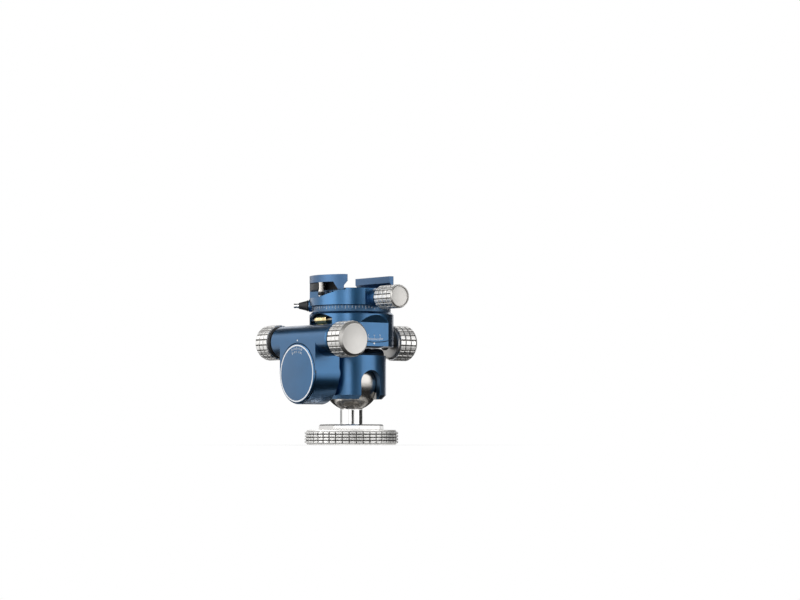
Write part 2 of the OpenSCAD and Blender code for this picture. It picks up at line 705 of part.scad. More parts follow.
module clamp_base() color("steelblue") difference() {
    union() {
        difference() {
            rod_z([0, 0, scale_top + pan_gap], body_r, floor_z - scale_top - pan_gap);
            block([pan_flat_x, -body_r, scale_top], [body_r + EPS, body_r, floor_z + EPS]);
        }
        rod_z([0, 0, slide_top + pan_gap], pan_hub_r, floor_z - slide_top - pan_gap);
        difference() {
            union() {
                rod_x([pan_flat_x - 1, 0, pan_knob_z], pan_boss_r, pan_boss_len + 1);
                rotate([0, 0, plunger_angle]) rod_x([pan_hub_r, 0, plunger_z], boss_r, plunger_reach - pan_hub_r);
            }
            rod_z([0, 0, slide_top - EPS], scale_r + run_gap, scale_h + pan_gap + EPS);
        }
    }
    rod_z([0, 0, slide_top - EPS], post_r + fit_play, floor_z - slide_top);
    rod_z([0, 0, post_top - pan_gap], head_r + run_gap, floor_z - post_top + 1);
    block([-body_r, -body_r - EPS, jaw_shelf], [body_r, 0.7 - dovetail_half, floor_z + EPS]);
    rod_x([post_r - 1, 0, pan_knob_z], brake_r + fit_play, body_r);
    block([-foot_half - 0.3, -foot_out - jaw_travel - 0.6, jaw_shelf - foot_deep - 0.4],
          [foot_half + 0.3, 0.3 - foot_in, floor_z]);
    for (side = [-1, 1])
        rod_y([side * rod_x_place, -foot_out, rod_height], rod_r + fit_play, foot_out - rod_in + 0.5);
    rotate([0, 0, plunger_angle]) rod_x([scale_r, 0, plunger_z], pin_r + fit_play, body_r);
    translate([0, -jaw_wall_y, 0]) rotate([90, 0, 0]) linear_extrude(body_r)
        polygon([[-body_r - EPS, jaw_shelf + EPS], [-body_r - EPS, jaw_shelf - scoop_deep],
                 [scoop_foot, jaw_shelf - scoop_deep], [scoop_end, jaw_shelf], [scoop_end, jaw_shelf + EPS]]);
    jaw_screw_places(scale_top, jaw_screw_r + seat_play, clamp_h + EPS);
    jaw_screw_places(scale_top - EPS, jaw_head_r + seat_play, jaw_head_in + jaw_head_h + pan_gap + EPS);
}

module brake_pad() color("white") rod_x([post_r + 0.3, 0, pan_knob_z], brake_r, brake_len);

module pan_lock_screw() color("gray")
    rod_x([post_r + run_gap + brake_len, 0, pan_knob_z], brake_r,
          pan_knob_x + pan_knob_len - knob_cap - 2 * run_gap - post_r - brake_len);

pan_ribs = 16;
pan_rows = 4;
pan_collar = 1.6;
pan_end = 1.6;
pan_bevel = 0.7;
module pan_lock_knob() color("silver") translate([pan_knob_x + run_gap, 0, pan_knob_z]) rotate([0, 90, 0])
    knob(pan_knob_r, pan_knob_len, pan_ribs, pan_rows, pan_collar, pan_end, pan_bevel,
         brake_r + seat_play, pan_knob_len - knob_cap);

// Index plunger: a black taper on a steel pin
tip_len = 3.6;
pin_gap = 0.3;
module plunger_grip() color("black") rotate([0, 0, plunger_angle])
    translate([plunger_reach + pin_gap, 0, plunger_z]) rotate([0, 90, 0]) difference() {
        cylinder(r1 = plunger_r, r2 = pin_r + 0.4, h = plunger_len);
        rod_z([0, 0, -EPS], pin_r + seat_play, plunger_len + 2 * EPS);
    }

module plunger_pin() color("silver") rotate([0, 0, plunger_angle])
    rod_x([scale_r + pin_gap, 0, plunger_z], pin_r, plunger_reach + plunger_len + tip_len - scale_r);

// Clamp jaws, guides, cam shaft and lever
jaw_z = jaw_shelf + 0.2;
jaw_half = 18.4;
cam_drop = 3.2;
slot_right = 12.6;
slot_lean = 3.2;
cam_hole = 3.5;
lever_left = 20;
function jaw_profile(low) = [
    [dovetail_half, low], [dovetail_half, floor_z + dovetail_foot],
    [dovetail_half - lip_over, floor_z + dovetail_foot + lip_over], [dovetail_half - lip_over, jaw_top],
    [body_r + EPS, jaw_top], [body_r + EPS, low]];

module jaw(low) intersection() {
    translate([-body_r, 0, 0]) rotate([90, 0, 90]) linear_extrude(2 * body_r) polygon(jaw_profile(low));
    rod_z([0, 0, low - EPS], body_r, jaw_top - low + 2 * EPS);
    block([-jaw_half, 0, low - EPS], [jaw_half, body_r + EPS, jaw_top + EPS]);
}

module fixed_jaw() color("cornflowerblue") difference() {
    jaw(floor_z);
    jaw_screw_places(floor_z - EPS, jaw_screw_r + seat_play, jaw_screw_bite + jaw_head_in + jaw_head_h + pan_gap + 2 * EPS);
}

module jaw_screws() color("dimgray") {
    for (side = [-1, 1]) translate([side * jaw_screw_x, jaw_screw_y, scale_top + pan_gap]) union() {
        rod_z([0, 0, jaw_head_in], jaw_head_r, jaw_head_h);
        rod_z([0, 0, jaw_head_in + jaw_head_h], jaw_screw_r, clamp_h + jaw_screw_bite);
    }
}

module moving_jaw() color("cornflowerblue") difference() {
    union() {
        mirror([0, 1, 0]) jaw(jaw_z);
        block([-foot_half, -foot_out, jaw_shelf - foot_deep], [foot_half, -foot_in, jaw_z + EPS]);
    }
    translate([0, -jaw_wall_y, 0]) rotate([90, 0, 0]) linear_extrude(body_r)
        polygon([[-body_r - EPS, jaw_shelf - EPS], [slot_right + slot_lean, jaw_shelf - EPS],
                 [slot_right, slot_top], [-body_r - EPS, slot_top]]);
    rod_z([cam_x, -cam_y, slot_top - EPS], cam_r + fit_play, cam_hole + EPS);
    for (side = [-1, 1])
        rod_y([side * rod_x_place, -foot_out - EPS, rod_height], rod_r + seat_play, 2 * foot_deep);
}

module guide_rods() color("silver") for (side = [-1, 1])
    rod_y([side * rod_x_place, -foot_out + 0.2, rod_height], rod_r, foot_out - 0.2 - rod_in);

module cam_shaft() color("silver")
    rod_z([cam_x, -cam_y, jaw_shelf - cam_drop], cam_r, cam_drop + slot_h + cam_hole - run_gap);

module clamp_lever() color("black") difference() {
    intersection() {
        rod_z([0, 0, jaw_shelf + run_gap], body_r - 0.2, lever_t);
        block([-lever_left, -body_r, jaw_shelf], [cam_x, -jaw_wall_y - 0.3, slot_top]);
    }
    rod_z([cam_x, -cam_y, jaw_shelf - EPS], cam_r + seat_play, slot_h + 1);
}

base_ring();
thread_insert();
base_plate();
ball_stem();
ball_housing();
seat_ring();
pressure_pad();
lock_screw();
lock_knob();
tilt_hub();
hub_screws();
tilt_shaft();
tilt_wheel();
tilt_dial();
tilt_block();
worm_bushes();
setting_screw();
tilt_worm();
front_knob();
left_knob();
gonio_slide();
gonio_rack();
brass_barrel();
barrel_screw();
arc_bush();
gonio_worm();
gonio_knob();
scale_ring();
pan_post();
post_washer();
post_screw();
clamp_base();
brake_pad();
pan_lock_screw();
pan_lock_knob();
plunger_grip();
plunger_pin();
fixed_jaw();
jaw_screws();
moving_jaw();
guide_rods();
cam_shaft();
clamp_lever();
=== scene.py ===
import math
import bpy
import bmesh
from mathutils import Matrix, Vector
from mathutils.bvhtree import BVHTree


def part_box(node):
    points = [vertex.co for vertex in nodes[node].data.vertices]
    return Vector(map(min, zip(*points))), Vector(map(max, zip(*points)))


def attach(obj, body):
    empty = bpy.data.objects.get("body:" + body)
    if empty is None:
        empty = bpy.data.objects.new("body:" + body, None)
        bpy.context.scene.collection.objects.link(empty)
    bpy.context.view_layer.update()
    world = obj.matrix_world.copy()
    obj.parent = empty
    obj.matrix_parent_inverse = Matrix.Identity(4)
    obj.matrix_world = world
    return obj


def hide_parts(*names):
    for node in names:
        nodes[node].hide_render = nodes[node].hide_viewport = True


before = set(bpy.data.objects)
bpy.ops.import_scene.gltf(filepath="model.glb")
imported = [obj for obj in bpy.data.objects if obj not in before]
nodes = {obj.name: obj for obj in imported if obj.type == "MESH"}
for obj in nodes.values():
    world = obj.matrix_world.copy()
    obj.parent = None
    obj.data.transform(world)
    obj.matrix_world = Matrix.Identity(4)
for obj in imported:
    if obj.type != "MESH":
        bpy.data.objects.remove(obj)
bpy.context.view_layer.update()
mm = 0.001
scene = bpy.context.scene
scene.view_settings.view_transform = "Standard"
print("frame loaded:", len(nodes), "CAD nodes")


# small helpers for node trees
def addNode(tree, kind, inputs=None, **settings):
    node = tree.nodes.new(kind)
    for key, value in settings.items():
        setattr(node, key, value)
    for key, value in (inputs or {}).items():
        node.inputs[key].default_value = value
    return node


def rampNode(tree, stops):
    ramp = tree.nodes.new("ShaderNodeValToRGB")
    band = ramp.color_ramp
    while len(band.elements) < len(stops):
        band.elements.new(0.5)
    for element, (place, colour) in zip(band.elements, stops):
        element.position = place
        element.color = (*colour, 1)
    return ramp


def rangeNode(tree, lowIn, highIn, lowOut, highOut):
    return addNode(tree, "ShaderNodeMapRange",
                   {"From Min": lowIn, "From Max": highIn, "To Min": lowOut, "To Max": highOut})


# what the finishes share; each one below changes a few of these
commonFinish = {"metallic": 1.0, "specular": 0.5, "coat": 0.0, "coatRough": 0.3, "noiseLow": 0.3,
                "noiseHigh": 0.7, "mottleScale": 60, "mottleDetail": 4, "mottleRough": 0.6, "hazeScale": 140,
                "hazeDetail": 3, "grainScale": 5200, "grainDetail": 2, "grain": 0.25, "grainDeep": 0.00003,
                "edge": 0.00025, "edgeSamples": 4, "wear": 0.35, "rubStart": 0.985, "rubFull": 0.80,
                "roughLow": 0.3, "roughHigh": 0.4}


# One finish: blasted grain, faint mottling, rubbed edges, roughness that varies, round light on edges
def finish(name, **changes):
    look = {**commonFinish, **changes}
    material = bpy.data.materials.new(name)
    material.use_nodes = True
    tree = material.node_tree
    link = tree.links.new
    shader = tree.nodes["Principled BSDF"]
    shader.inputs["Metallic"].default_value = look["metallic"]
    shader.inputs["Specular IOR Level"].default_value = look["specular"]
    shader.inputs["Coat Weight"].default_value = look["coat"]
    shader.inputs["Coat Roughness"].default_value = look["coatRough"]
    place = addNode(tree, "ShaderNodeTexCoord")

    mottle = addNode(tree, "ShaderNodeTexNoise",
                     {"Scale": look["mottleScale"], "Detail": look["mottleDetail"],
                      "Roughness": look["mottleRough"]})
    link(place.outputs["Object"], mottle.inputs["Vector"])
    tone = rampNode(tree, [(look["noiseLow"], look["dark"]), (look["noiseHigh"], look["colour"])])
    link(mottle.outputs["Fac"], tone.inputs["Fac"])

    # edges rubbed lighter, where the rounded normal leaves the flat one
    rounded = addNode(tree, "ShaderNodeBevel", {"Radius": look["edge"]}, samples=look["edgeSamples"])
    flat = addNode(tree, "ShaderNodeNewGeometry")
    lean = addNode(tree, "ShaderNodeVectorMath", operation="DOT_PRODUCT")
    link(rounded.outputs["Normal"], lean.inputs[0])
    link(flat.outputs["Normal"], lean.inputs[1])
    rub = rangeNode(tree, look["rubStart"], look["rubFull"], 0.0, look["wear"])
    link(lean.outputs["Value"], rub.inputs["Value"])
    worn = addNode(tree, "ShaderNodeMix", data_type="RGBA")
    worn.inputs["B"].default_value = (*look["worn"], 1)
    link(rub.outputs["Result"], worn.inputs["Factor"])
    link(tone.outputs["Color"], worn.inputs["A"])
    link(worn.outputs["Result"], shader.inputs["Base Color"])

    haze = addNode(tree, "ShaderNodeTexNoise", {"Scale": look["hazeScale"], "Detail": look["hazeDetail"]})
    link(place.outputs["Object"], haze.inputs["Vector"])
    gloss = rangeNode(tree, look["noiseLow"], look["noiseHigh"], look["roughLow"], look["roughHigh"])
    link(haze.outputs["Fac"], gloss.inputs["Value"])
    link(gloss.outputs["Result"], shader.inputs["Roughness"])

    grain = addNode(tree, "ShaderNodeTexNoise", {"Scale": look["grainScale"], "Detail": look["grainDetail"]})
    link(place.outputs["Object"], grain.inputs["Vector"])
    bump = addNode(tree, "ShaderNodeBump", {"Strength": look["grain"], "Distance": look["grainDeep"]})
    link(grain.outputs["Fac"], bump.inputs["Height"])
    link(rounded.outputs["Normal"], bump.inputs["Normal"])
    link(bump.outputs["Normal"], shader.inputs["Normal"])
    return material


blueAnodised = finish("blueAnodised", colour=(0.028, 0.120, 0.262), dark=(0.024, 0.104, 0.226),
                      worn=(0.16, 0.28, 0.42), coat=0.8, coatRough=0.22,
                      roughLow=0.28, roughHigh=0.34, grain=0.3)
# jaw blue: a rougher anodised blue, darkened further as painted shade for the shadow falling on the jaws from
# above
jawBlueAndShade = finish("jawBlueAndShade", colour=(0.034, 0.104, 0.222), dark=(0.030, 0.092, 0.196),
                 worn=(0.18, 0.30, 0.45), coat=0.8, coatRough=0.36,
                 roughLow=0.38, roughHigh=0.46, grain=0.35)
scaleBlue = finish("scaleBlue", colour=(0.026, 0.092, 0.190), dark=(0.022, 0.078, 0.160),
                   worn=(0.14, 0.24, 0.36), coat=0.8, coatRough=0.36, roughLow=0.36, roughHigh=0.44)
hubGrey = finish("hubGrey", colour=(0.42, 0.44, 0.46), dark=(0.34, 0.36, 0.38),
                 worn=(0.6, 0.61, 0.62), roughLow=0.3, roughHigh=0.4)
blastedSilver = finish("blastedSilver", colour=(0.88, 0.87, 0.85), dark=(0.79, 0.78, 0.76),
                       worn=(0.94, 0.93, 0.92), roughLow=0.34, roughHigh=0.42, grain=0.3)
turnedSilver = finish("turnedSilver", colour=(0.46, 0.448, 0.43), dark=(0.41, 0.40, 0.383),
                      worn=(0.82, 0.81, 0.79), roughLow=0.32, roughHigh=0.40, grain=0.2)
# dark silver for the grooves between knurl pads: painted shade in the recesses
shadedGrooveSilver = finish("shadedGrooveSilver", colour=(0.12, 0.117, 0.112), dark=(0.08, 0.078, 0.075),
                      worn=(0.2, 0.195, 0.19), roughLow=0.4, roughHigh=0.5)
ringSilver = finish("ringSilver", colour=(0.94, 0.93, 0.91), dark=(0.86, 0.85, 0.83),
                    worn=(0.96, 0.95, 0.94), roughLow=0.46, roughHigh=0.54, grain=0.3)
polishedSteel = finish("polishedSteel", colour=(0.92, 0.915, 0.905), dark=(0.88, 0.875, 0.865),
                       worn=(0.95, 0.95, 0.94), roughLow=0.06, roughHigh=0.11, grain=0.04)
plateSilver = finish("plateSilver", colour=(0.80, 0.79, 0.775), dark=(0.72, 0.71, 0.695),
                     worn=(0.92, 0.91, 0.90), roughLow=0.14, roughHigh=0.20, grain=0.1)
satinSteel = finish("satinSteel", colour=(0.52, 0.50, 0.47), dark=(0.45, 0.432, 0.408),
                    worn=(0.72, 0.71, 0.7), roughLow=0.2, roughHigh=0.28, grain=0.1)
plainSteel = finish("plainSteel", colour=(0.50, 0.49, 0.48), dark=(0.40, 0.395, 0.39),
                    worn=(0.66, 0.65, 0.64), roughLow=0.28, roughHigh=0.4)
blackSteel = finish("blackSteel", colour=(0.020, 0.020, 0.022), dark=(0.012, 0.012, 0.013),
                    worn=(0.12, 0.12, 0.12), metallic=0.6, roughLow=0.32, roughHigh=0.45)
brass = finish("brass", colour=(0.92, 0.76, 0.42), dark=(0.84, 0.67, 0.34),
               worn=(0.95, 0.86, 0.62), roughLow=0.16, roughHigh=0.26, grain=0.12)
blackAnodised = finish("blackAnodised", colour=(0.026, 0.027, 0.029), dark=(0.016, 0.017, 0.018),
                       worn=(0.16, 0.16, 0.16), metallic=0.5, roughLow=0.38, roughHigh=0.5)
# near-black matt colour: painted shade in the lever's slot
slotShadeBlack = finish("slotShadeBlack", colour=(0.006, 0.006, 0.007), dark=(0.004, 0.004, 0.004),
                   worn=(0.03, 0.03, 0.03), metallic=0.0, specular=0.15, roughLow=0.5, roughHigh=0.6)
whiteNylon = finish("whiteNylon", colour=(0.72, 0.71, 0.68), dark=(0.64, 0.63, 0.60),
                    worn=(0.8, 0.79, 0.77), metallic=0.0, roughLow=0.42, roughHigh=0.55)
markWhite = finish("markWhite", colour=(0.90, 0.91, 0.92), dark=(0.86, 0.87, 0.89),
                   worn=(0.7, 0.72, 0.75), metallic=0.0, roughLow=0.4, roughHigh=0.5)
print("finishes mixed")

# finish of every CAD node, shown or replaced later
nodeFinish = {
    blueAnodised: ["ball_housing", "tilt_dial", "tilt_block", "gonio_slide", "clamp_base"],
    jawBlueAndShade: ["fixed_jaw", "moving_jaw"],
    scaleBlue: ["scale_ring"],
    hubGrey: ["tilt_hub"],
    blastedSilver: ["base_ring", "lock_knob", "front_knob", "left_knob", "gonio_knob", "pan_lock_knob"],
    plateSilver: ["base_plate"],
    polishedSteel: ["cam_shaft", "plunger_pin", "guide_rods"],
    satinSteel: ["ball_stem", "tilt_shaft", "tilt_worm", "gonio_worm"],
    plainSteel: ["thread_insert", "lock_screw", "pan_post", "post_washer", "pan_lock_screw",
                 "barrel_screw", "gonio_rack"],
    blackSteel: ["hub_screws", "jaw_screws", "setting_screw", "post_screw", "worm_bushes", "arc_bush"],
    brass: ["brass_barrel", "tilt_wheel"],
    blackAnodised: ["plunger_grip", "clamp_lever"],
    whiteNylon: ["pressure_pad", "brake_pad", "seat_ring"],
}
dressed = set()
for material, names in nodeFinish.items():
    for name in names:
        data = nodes[name].data
        data.materials.clear()
        data.materials.append(material)
        dressed.add(name)
print("nodes without a finish:", sorted(set(nodes) - dressed))


# A point in metres about local Z, from a radius and height in mm
def around(radius, turn, height):
    return radius * mm * math.cos(turn), radius * mm * math.sin(turn), height * mm


# Lathe about local Z from (radius, height) points in mm
def turned(bm, profile, segments):
    turns = [2 * math.pi * step / segments for step in range(segments)]
    rings = []
    for radius, height in profile:
        if radius < 1e-4:  # a point on the axis
            rings.append([bm.verts.new((0, 0, height * mm))])
        else:
            rings.append([bm.verts.new(around(radius, turn, height)) for turn in turns])
    faces = []
    for low, high in zip(rings, rings[1:]):
        for step in range(segments):
            after = (step + 1) % segments
            corners = [low[step % len(low)], low[after % len(low)],
                       high[after % len(high)], high[step % len(high)]]
            faces.append(bm.faces.new(list(dict.fromkeys(corners))))
    return faces


def weld(bm):
    bmesh.ops.remove_doubles(bm, verts=bm.verts, dist=1e-7)


# Lathe for a bored piece, whose profile comes back to its first point
def turnedRing(bm, profile, segments):
    turned(bm, profile + [profile[0]], segments)
    weld(bm)


# (radius, height, rounding) corners to points, with a small curve at each rounded corner,
# which takes up no more than a share of the sides beside it
def softProfile(corners, steps=3, most=0.45):
    points = []
    for place, (radius, height, rounding) in enumerate(corners):
        here = Vector((radius, height))
        if not rounding or place in (0, len(corners) - 1):
            points.append((radius, height))
            continue
        before = Vector(corners[place - 1][:2]) - here
        after = Vector(corners[place + 1][:2]) - here
        reach = min(rounding, before.length * most, after.length * most)
        first = here + before.normalized() * reach
        last = here + after.normalized() * reach
        for step in range(steps + 1):
            share = step / steps
            spot = first * (1 - share) ** 2 + here * 2 * share * (1 - share) + last * share ** 2
            points.append((spot.x, spot.y))
    return points


# Closed pads with bevelled tops on a cylinder about local Z, sunk a little in the core
def addPads(bm, look, radius, low, high):
    tall = (high - low) / look["rows"]
    half = math.pi / look["ribs"] * look["padShare"]
    soft = look["soft"]
    levels = ((radius - look["padDepth"] - look["sink"], 0), (radius - soft, 0), (radius, soft))
    for row in range(look["rows"]):
        bottom = low + row * tall + look["groove"] / 2
        top = bottom + tall - look["groove"]
        for step in range(look["ribs"]):
            middle = 2 * math.pi * step / look["ribs"]
            loops = []
            for level, inset in levels:
                lean = half - inset / radius
                spots = [(-lean, bottom + inset), (0, bottom + inset), (lean, bottom + inset),
                         (lean, top - inset), (0, top - inset), (-lean, top - inset)]
                loops.append([bm.verts.new(around(level, middle + turn, height)) for turn, height in spots])
            bm.faces.new(loops[0][::-1])
            for lower, upper in zip(loops, loops[1:]):
                for corner in range(len(lower)):
                    after = (corner + 1) % len(lower)
                    bm.faces.new((lower[corner], lower[after], upper[after], upper[corner]))
            crown = loops[-1]
            bm.faces.new((crown[0], crown[1], crown[4], crown[5]))
            bm.faces.new((crown[1], crown[2], crown[3], crown[4]))


# A small closed bar: centre in mm, unit directions along it and out of the surface, sizes in mm
def addBar(bm, centre, along, out, length, width, thick):
    across = out.cross(along)
    corners = []
    for end in (-0.5, 0.5):
        for u, v in ((-0.5, -0.5), (0.5, -0.5), (0.5, 0.5), (-0.5, 0.5)):
            spot = centre + along * (end * length) + across * (u * width) + out * (v * thick)
            corners.append(bm.verts.new(spot * mm))
    for face in ((3, 2, 1, 0), (4, 5, 6, 7), (0, 1, 5, 4), (1, 2, 6, 5), (2, 3, 7, 6), (3, 0, 4, 7)):
        bm.faces.new([corners[place] for place in face])


# A small disc, such as an index dot
def addDot(bm, centre, out, radius, thick, segments=20):
    turn = Vector((0, 0, 1)).rotation_difference(out).to_matrix().to_4x4()
    bmesh.ops.create_cone(bm, cap_ends=True, segments=segments, radius1=radius * mm, radius2=radius * mm,
                          depth=thick * mm, matrix=Matrix.Translation(centre * mm) @ turn)


# A scale numeral as a closed raised mesh
def addDigit(bm, text, centre, along, out, size, thick):
    curve = bpy.data.curves.new("digit", "FONT")
    curve.body = text
    curve.size = size * mm
    curve.extrude = thick * mm / 2
    curve.align_x = "CENTER"
    curve.align_y = "CENTER"
    curve.resolution_u = 3
    holder = bpy.data.objects.new("digit", curve)
    mesh = bpy.data.meshes.new_from_object(holder)
    upward = out.cross(along)
    turn = Matrix((along, upward, out)).transposed().to_4x4()
    mesh.transform(Matrix.Translation(centre * mm) @ turn)
    bm.from_mesh(mesh)
    bpy.data.objects.remove(holder)
    bpy.data.curves.remove(curve)
    bpy.data.meshes.remove(mesh)


# A new piece from a bmesh, placed with its local Z along an axis, riding a body
def makePiece(name, bm, body, materials, origin=(0, 0, 0), axis=(0, 0, 1), smooth=35,
              replaced=()):
    mesh = bpy.data.meshes.new(name)
    bmesh.ops.recalc_face_normals(bm, faces=bm.faces)
    bm.to_mesh(mesh)
    bm.free()
    for polygon in mesh.polygons:
        polygon.use_smooth = True
    mesh.set_sharp_from_angle(angle=math.radians(smooth))
    for material in materials:
        mesh.materials.append(material)
    piece = bpy.data.objects.new(name, mesh)
    scene.collection.objects.link(piece)
    turn = Vector((0, 0, 1)).rotation_difference(Vector(axis)).to_matrix().to_4x4()
    piece.matrix_world = Matrix.Translation(Vector(origin)) @ turn
    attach(piece, body)
    if replaced:
        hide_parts(*replaced)


# Where a ray first meets a CAD node, in mm
def meets(node, start, direction):
    mesh = nodes[node].data
    place = nodes[node].matrix_world
    tree = BVHTree.FromPolygons([place @ vertex.co for vertex in mesh.vertices],
                                [polygon.vertices[:] for polygon in mesh.polygons])
    spot = tree.ray_cast(Vector(start) * mm, Vector(direction))[0]
    return spot / mm


# Rounded-edge copies stand for the milled CAD nodes: node, body, slot and edge width in mm
milled = {
    "ballHousing": ("ball_housing", "lower_body", "anodised_blue", 0.35),
    "tiltBlock": ("tilt_block", "tilt_block", "anodised_blue", 0.35),
    "arcSlide": ("gonio_slide", "arc_slide", "anodised_blue", 0.3),
    "clampBase": ("clamp_base", "clamp", "anodised_blue", 0.35),
    "fixedJaw": ("fixed_jaw", "clamp", "jaw_blue", 0.3),
    "movingJaw": ("moving_jaw", "jaw", "jaw_blue", 0.3),
    "clampLever": ("clamp_lever", "lever", "black_anodised", 0.25),
    "basePlate": ("base_plate", "base", "knurled_silver", 0.25),
    "tiltHub": ("tilt_hub", "lower_body", "scale_grey", 0.25),
}
edgeLook = {"weld": 0.00003, "flatAngle": 0.6, "edgeAngle": 28, "segments": 2, "weight": 50}


def roundedCopy(name, node, body, width):
    piece = bpy.data.objects.new(name, nodes[node].data.copy())
    scene.collection.objects.link(piece)
    for kind, settings in (
        ("WELD", {"merge_threshold": edgeLook["weld"]}),
        ("DECIMATE", {"decimate_type": "DISSOLVE", "angle_limit": math.radians(edgeLook["flatAngle"])}),
        ("BEVEL", {"width": width * mm, "segments": edgeLook["segments"], "limit_method": "ANGLE",
                   "angle_limit": math.radians(edgeLook["edgeAngle"]), "use_clamp_overlap": True}),
        ("WEIGHTED_NORMAL", {"weight": edgeLook["weight"], "keep_sharp": True}),
    ):
        modifier = piece.modifiers.new(kind.lower(), kind)
        for key, value in settings.items():
            setattr(modifier, key, value)
    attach(piece, body)
    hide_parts(node)


for name, (node, body, slotName, width) in milled.items():
    roundedCopy(name, node, body, width)
print("milled pieces rounded")

# Base ring: knurled pads between two plain lips
ringLook = {"ribs": 42, "rows": 4, "padShare": 0.84, "padDepth": 0.9, "sink": 0.3, "groove": 0.55,
            "soft": 0.2, "lip": 0.9, "lipIn": 1.4, "lipSoft": 0.3, "coreSoft": 0.1, "grooveShadeFrom": 0.2,
            "bore": 7.02, "segments": 156}
low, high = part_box("base_ring")
ringRadius = (high.x - low.x) / 2 / mm
ringTall = (high.z - low.z) / mm
lipRadius = ringRadius - ringLook["lipIn"]
core = ringRadius - ringLook["padDepth"]
bore = ringLook["bore"]
lip = ringLook["lip"]
ringProfile = softProfile([(bore, 0, 0), (lipRadius, 0, ringLook["lipSoft"]), (lipRadius, lip, 0),
                           (core, lip, ringLook["coreSoft"]), (core, ringTall - lip, ringLook["coreSoft"]),
                           (lipRadius, ringTall - lip, 0), (lipRadius, ringTall, ringLook["lipSoft"]),
                           (bore, ringTall, 0)])
bm = bmesh.new()
# the core between the pads takes the dark groove silver: painted shade in the grooves
for face in turned(bm, ringProfile + [ringProfile[0]], ringLook["segments"]):
    spot = face.calc_center_median()
    if math.hypot(spot.x, spot.y) > (lipRadius + ringLook["grooveShadeFrom"]) * mm:
        face.material_index = 1
weld(bm)
addPads(bm, ringLook, ringRadius, lip, ringTall - lip)
makePiece("baseRing", bm, "base", [ringSilver, shadedGrooveSilver], replaced=["base_ring"])

# Mounting thread: bored insert with grooves of the thread's pitch, from the top down
insertLook = {"outer": 7.0, "minor": 4.0, "major": 4.7, "pitch": 1.5875, "topLand": 0.4, "footLand": 0.3,
              "crest": 0.45, "grooveWide": 0.9, "segments": 64}
low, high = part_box("thread_insert")
insertTall = (high.z - low.z) / mm
minor = insertLook["minor"]
threadPitch = insertLook["pitch"]
insertProfile = [(minor, 0.0), (insertLook["outer"], 0.0), (insertLook["outer"], insertTall),
                 (minor, insertTall)]
groove = insertTall - insertLook["topLand"]
while groove - threadPitch > insertLook["footLand"]:
    insertProfile += [(minor, groove), (insertLook["major"], groove - threadPitch * insertLook["crest"]),
                      (minor, groove - threadPitch * insertLook["grooveWide"])]
    groove -= threadPitch
bm = bmesh.new()
turnedRing(bm, insertProfile, insertLook["segments"])
makePiece("threadInsert", bm, "base", [plainSteel], replaced=["thread_insert"])

# Ball on its stem, with a small fillet between them; the rings near the stem's ends keep its light straight
stemLook = {"stem": 7.0, "spigot": 5.0, "spigotSoft": 0.3, "foot": 0.4, "footRing": 0.6, "topRing": 1.2,
            "fillet": 1.2, "filletTurn": 0.12, "ballSteps": 40, "segments": 128, "smooth": 50}
low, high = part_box("ball_stem")
ballRadius = (high.x - low.x) / 2 / mm
ballMid = high.z / mm - ballRadius
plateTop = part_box("base_plate")[1].z / mm
stem = stemLook["stem"]
spigot = stemLook["spigot"]
neckTurn = math.asin(stem / ballRadius)
neckTop = ballMid - ballRadius * math.cos(neckTurn)
ballTurn = neckTurn + stemLook["filletTurn"]


def onBall(turn):
    return max(ballRadius * math.sin(turn), 0), ballMid - ballRadius * math.cos(turn)


stemProfile = softProfile([(0, low.z / mm, 0), (spigot, low.z / mm, stemLook["spigotSoft"]),
                           (spigot, plateTop, 0), (stem, plateTop, stemLook["foot"]),
                           (stem, plateTop + stemLook["footRing"], 0),
                           (stem, neckTop - stemLook["topRing"], 0),
                           (stem, neckTop, stemLook["fillet"]), (*onBall(ballTurn), 0)], steps=4)
for step in range(1, stemLook["ballSteps"] + 1):
    stemProfile.append(onBall(ballTurn + (math.pi - ballTurn) * step / stemLook["ballSteps"]))
bm = bmesh.new()
for face in turned(bm, stemProfile, stemLook["segments"]):
    if face.calc_center_median().z > neckTop * mm:
        face.material_index = 1
makePiece("ballStem", bm, "ball", [polishedSteel, satinSteel], smooth=stemLook["smooth"],
          replaced=["ball_stem"])
print("base, insert and ball turned")

# Knobs: dark or turned root, rows of pads, short cone and a dished end
bigKnob = {"ribs": 20, "rows": 3, "padShare": 0.80, "padDepth": 0.9, "sink": 0.3, "groove": 0.6, "soft": 0.24,
           "rootIn": 0.8, "rootSoft": 0.3, "collar": 1.0, "collarSoft": 0.2, "lift": 0.05, "step": 0.25,
           "end": 1.8, "endSoft": 0.25, "bevel": 1.5, "bevelSoft": 0.5, "rim": 0.35, "rimDrop": 0.02,
           "recess": 0.02, "dish": 0.6, "dishRings": (0.97, 0.85, 0.7, 0.5, 0.3, 0.15, 0),
           "segments": 120, "root": blackAnodised}
farKnob = {**bigKnob, "root": turnedSilver}
panKnob = {**bigKnob, "ribs": 16, "rows": 4, "collar": 1.6, "end": 1.2, "bevel": 0.5, "rim": 0.55,
           "recess": 0.8, "dish": 0.3}
lockKnob = {**bigKnob, "ribs": 16, "rows": 2, "collar": 2.0, "end": 2.2, "bevel": 1.2}
knobs = {
    "frontKnob": ("front_knob", "tilt_worm", (1, 0, 0), bigKnob),
    "leftKnob": ("left_knob", "tilt_worm", (-1, 0, 0), bigKnob),
    "arcKnob": ("gonio_knob", "arc_worm", (0, 1, 0), farKnob),
    "panLockKnob": ("pan_lock_knob", "pan_lock", (1, 0, 0), panKnob),
    "ballLockKnob": ("lock_knob", "ball_lock", (-1, 0, 0), lockKnob),
}


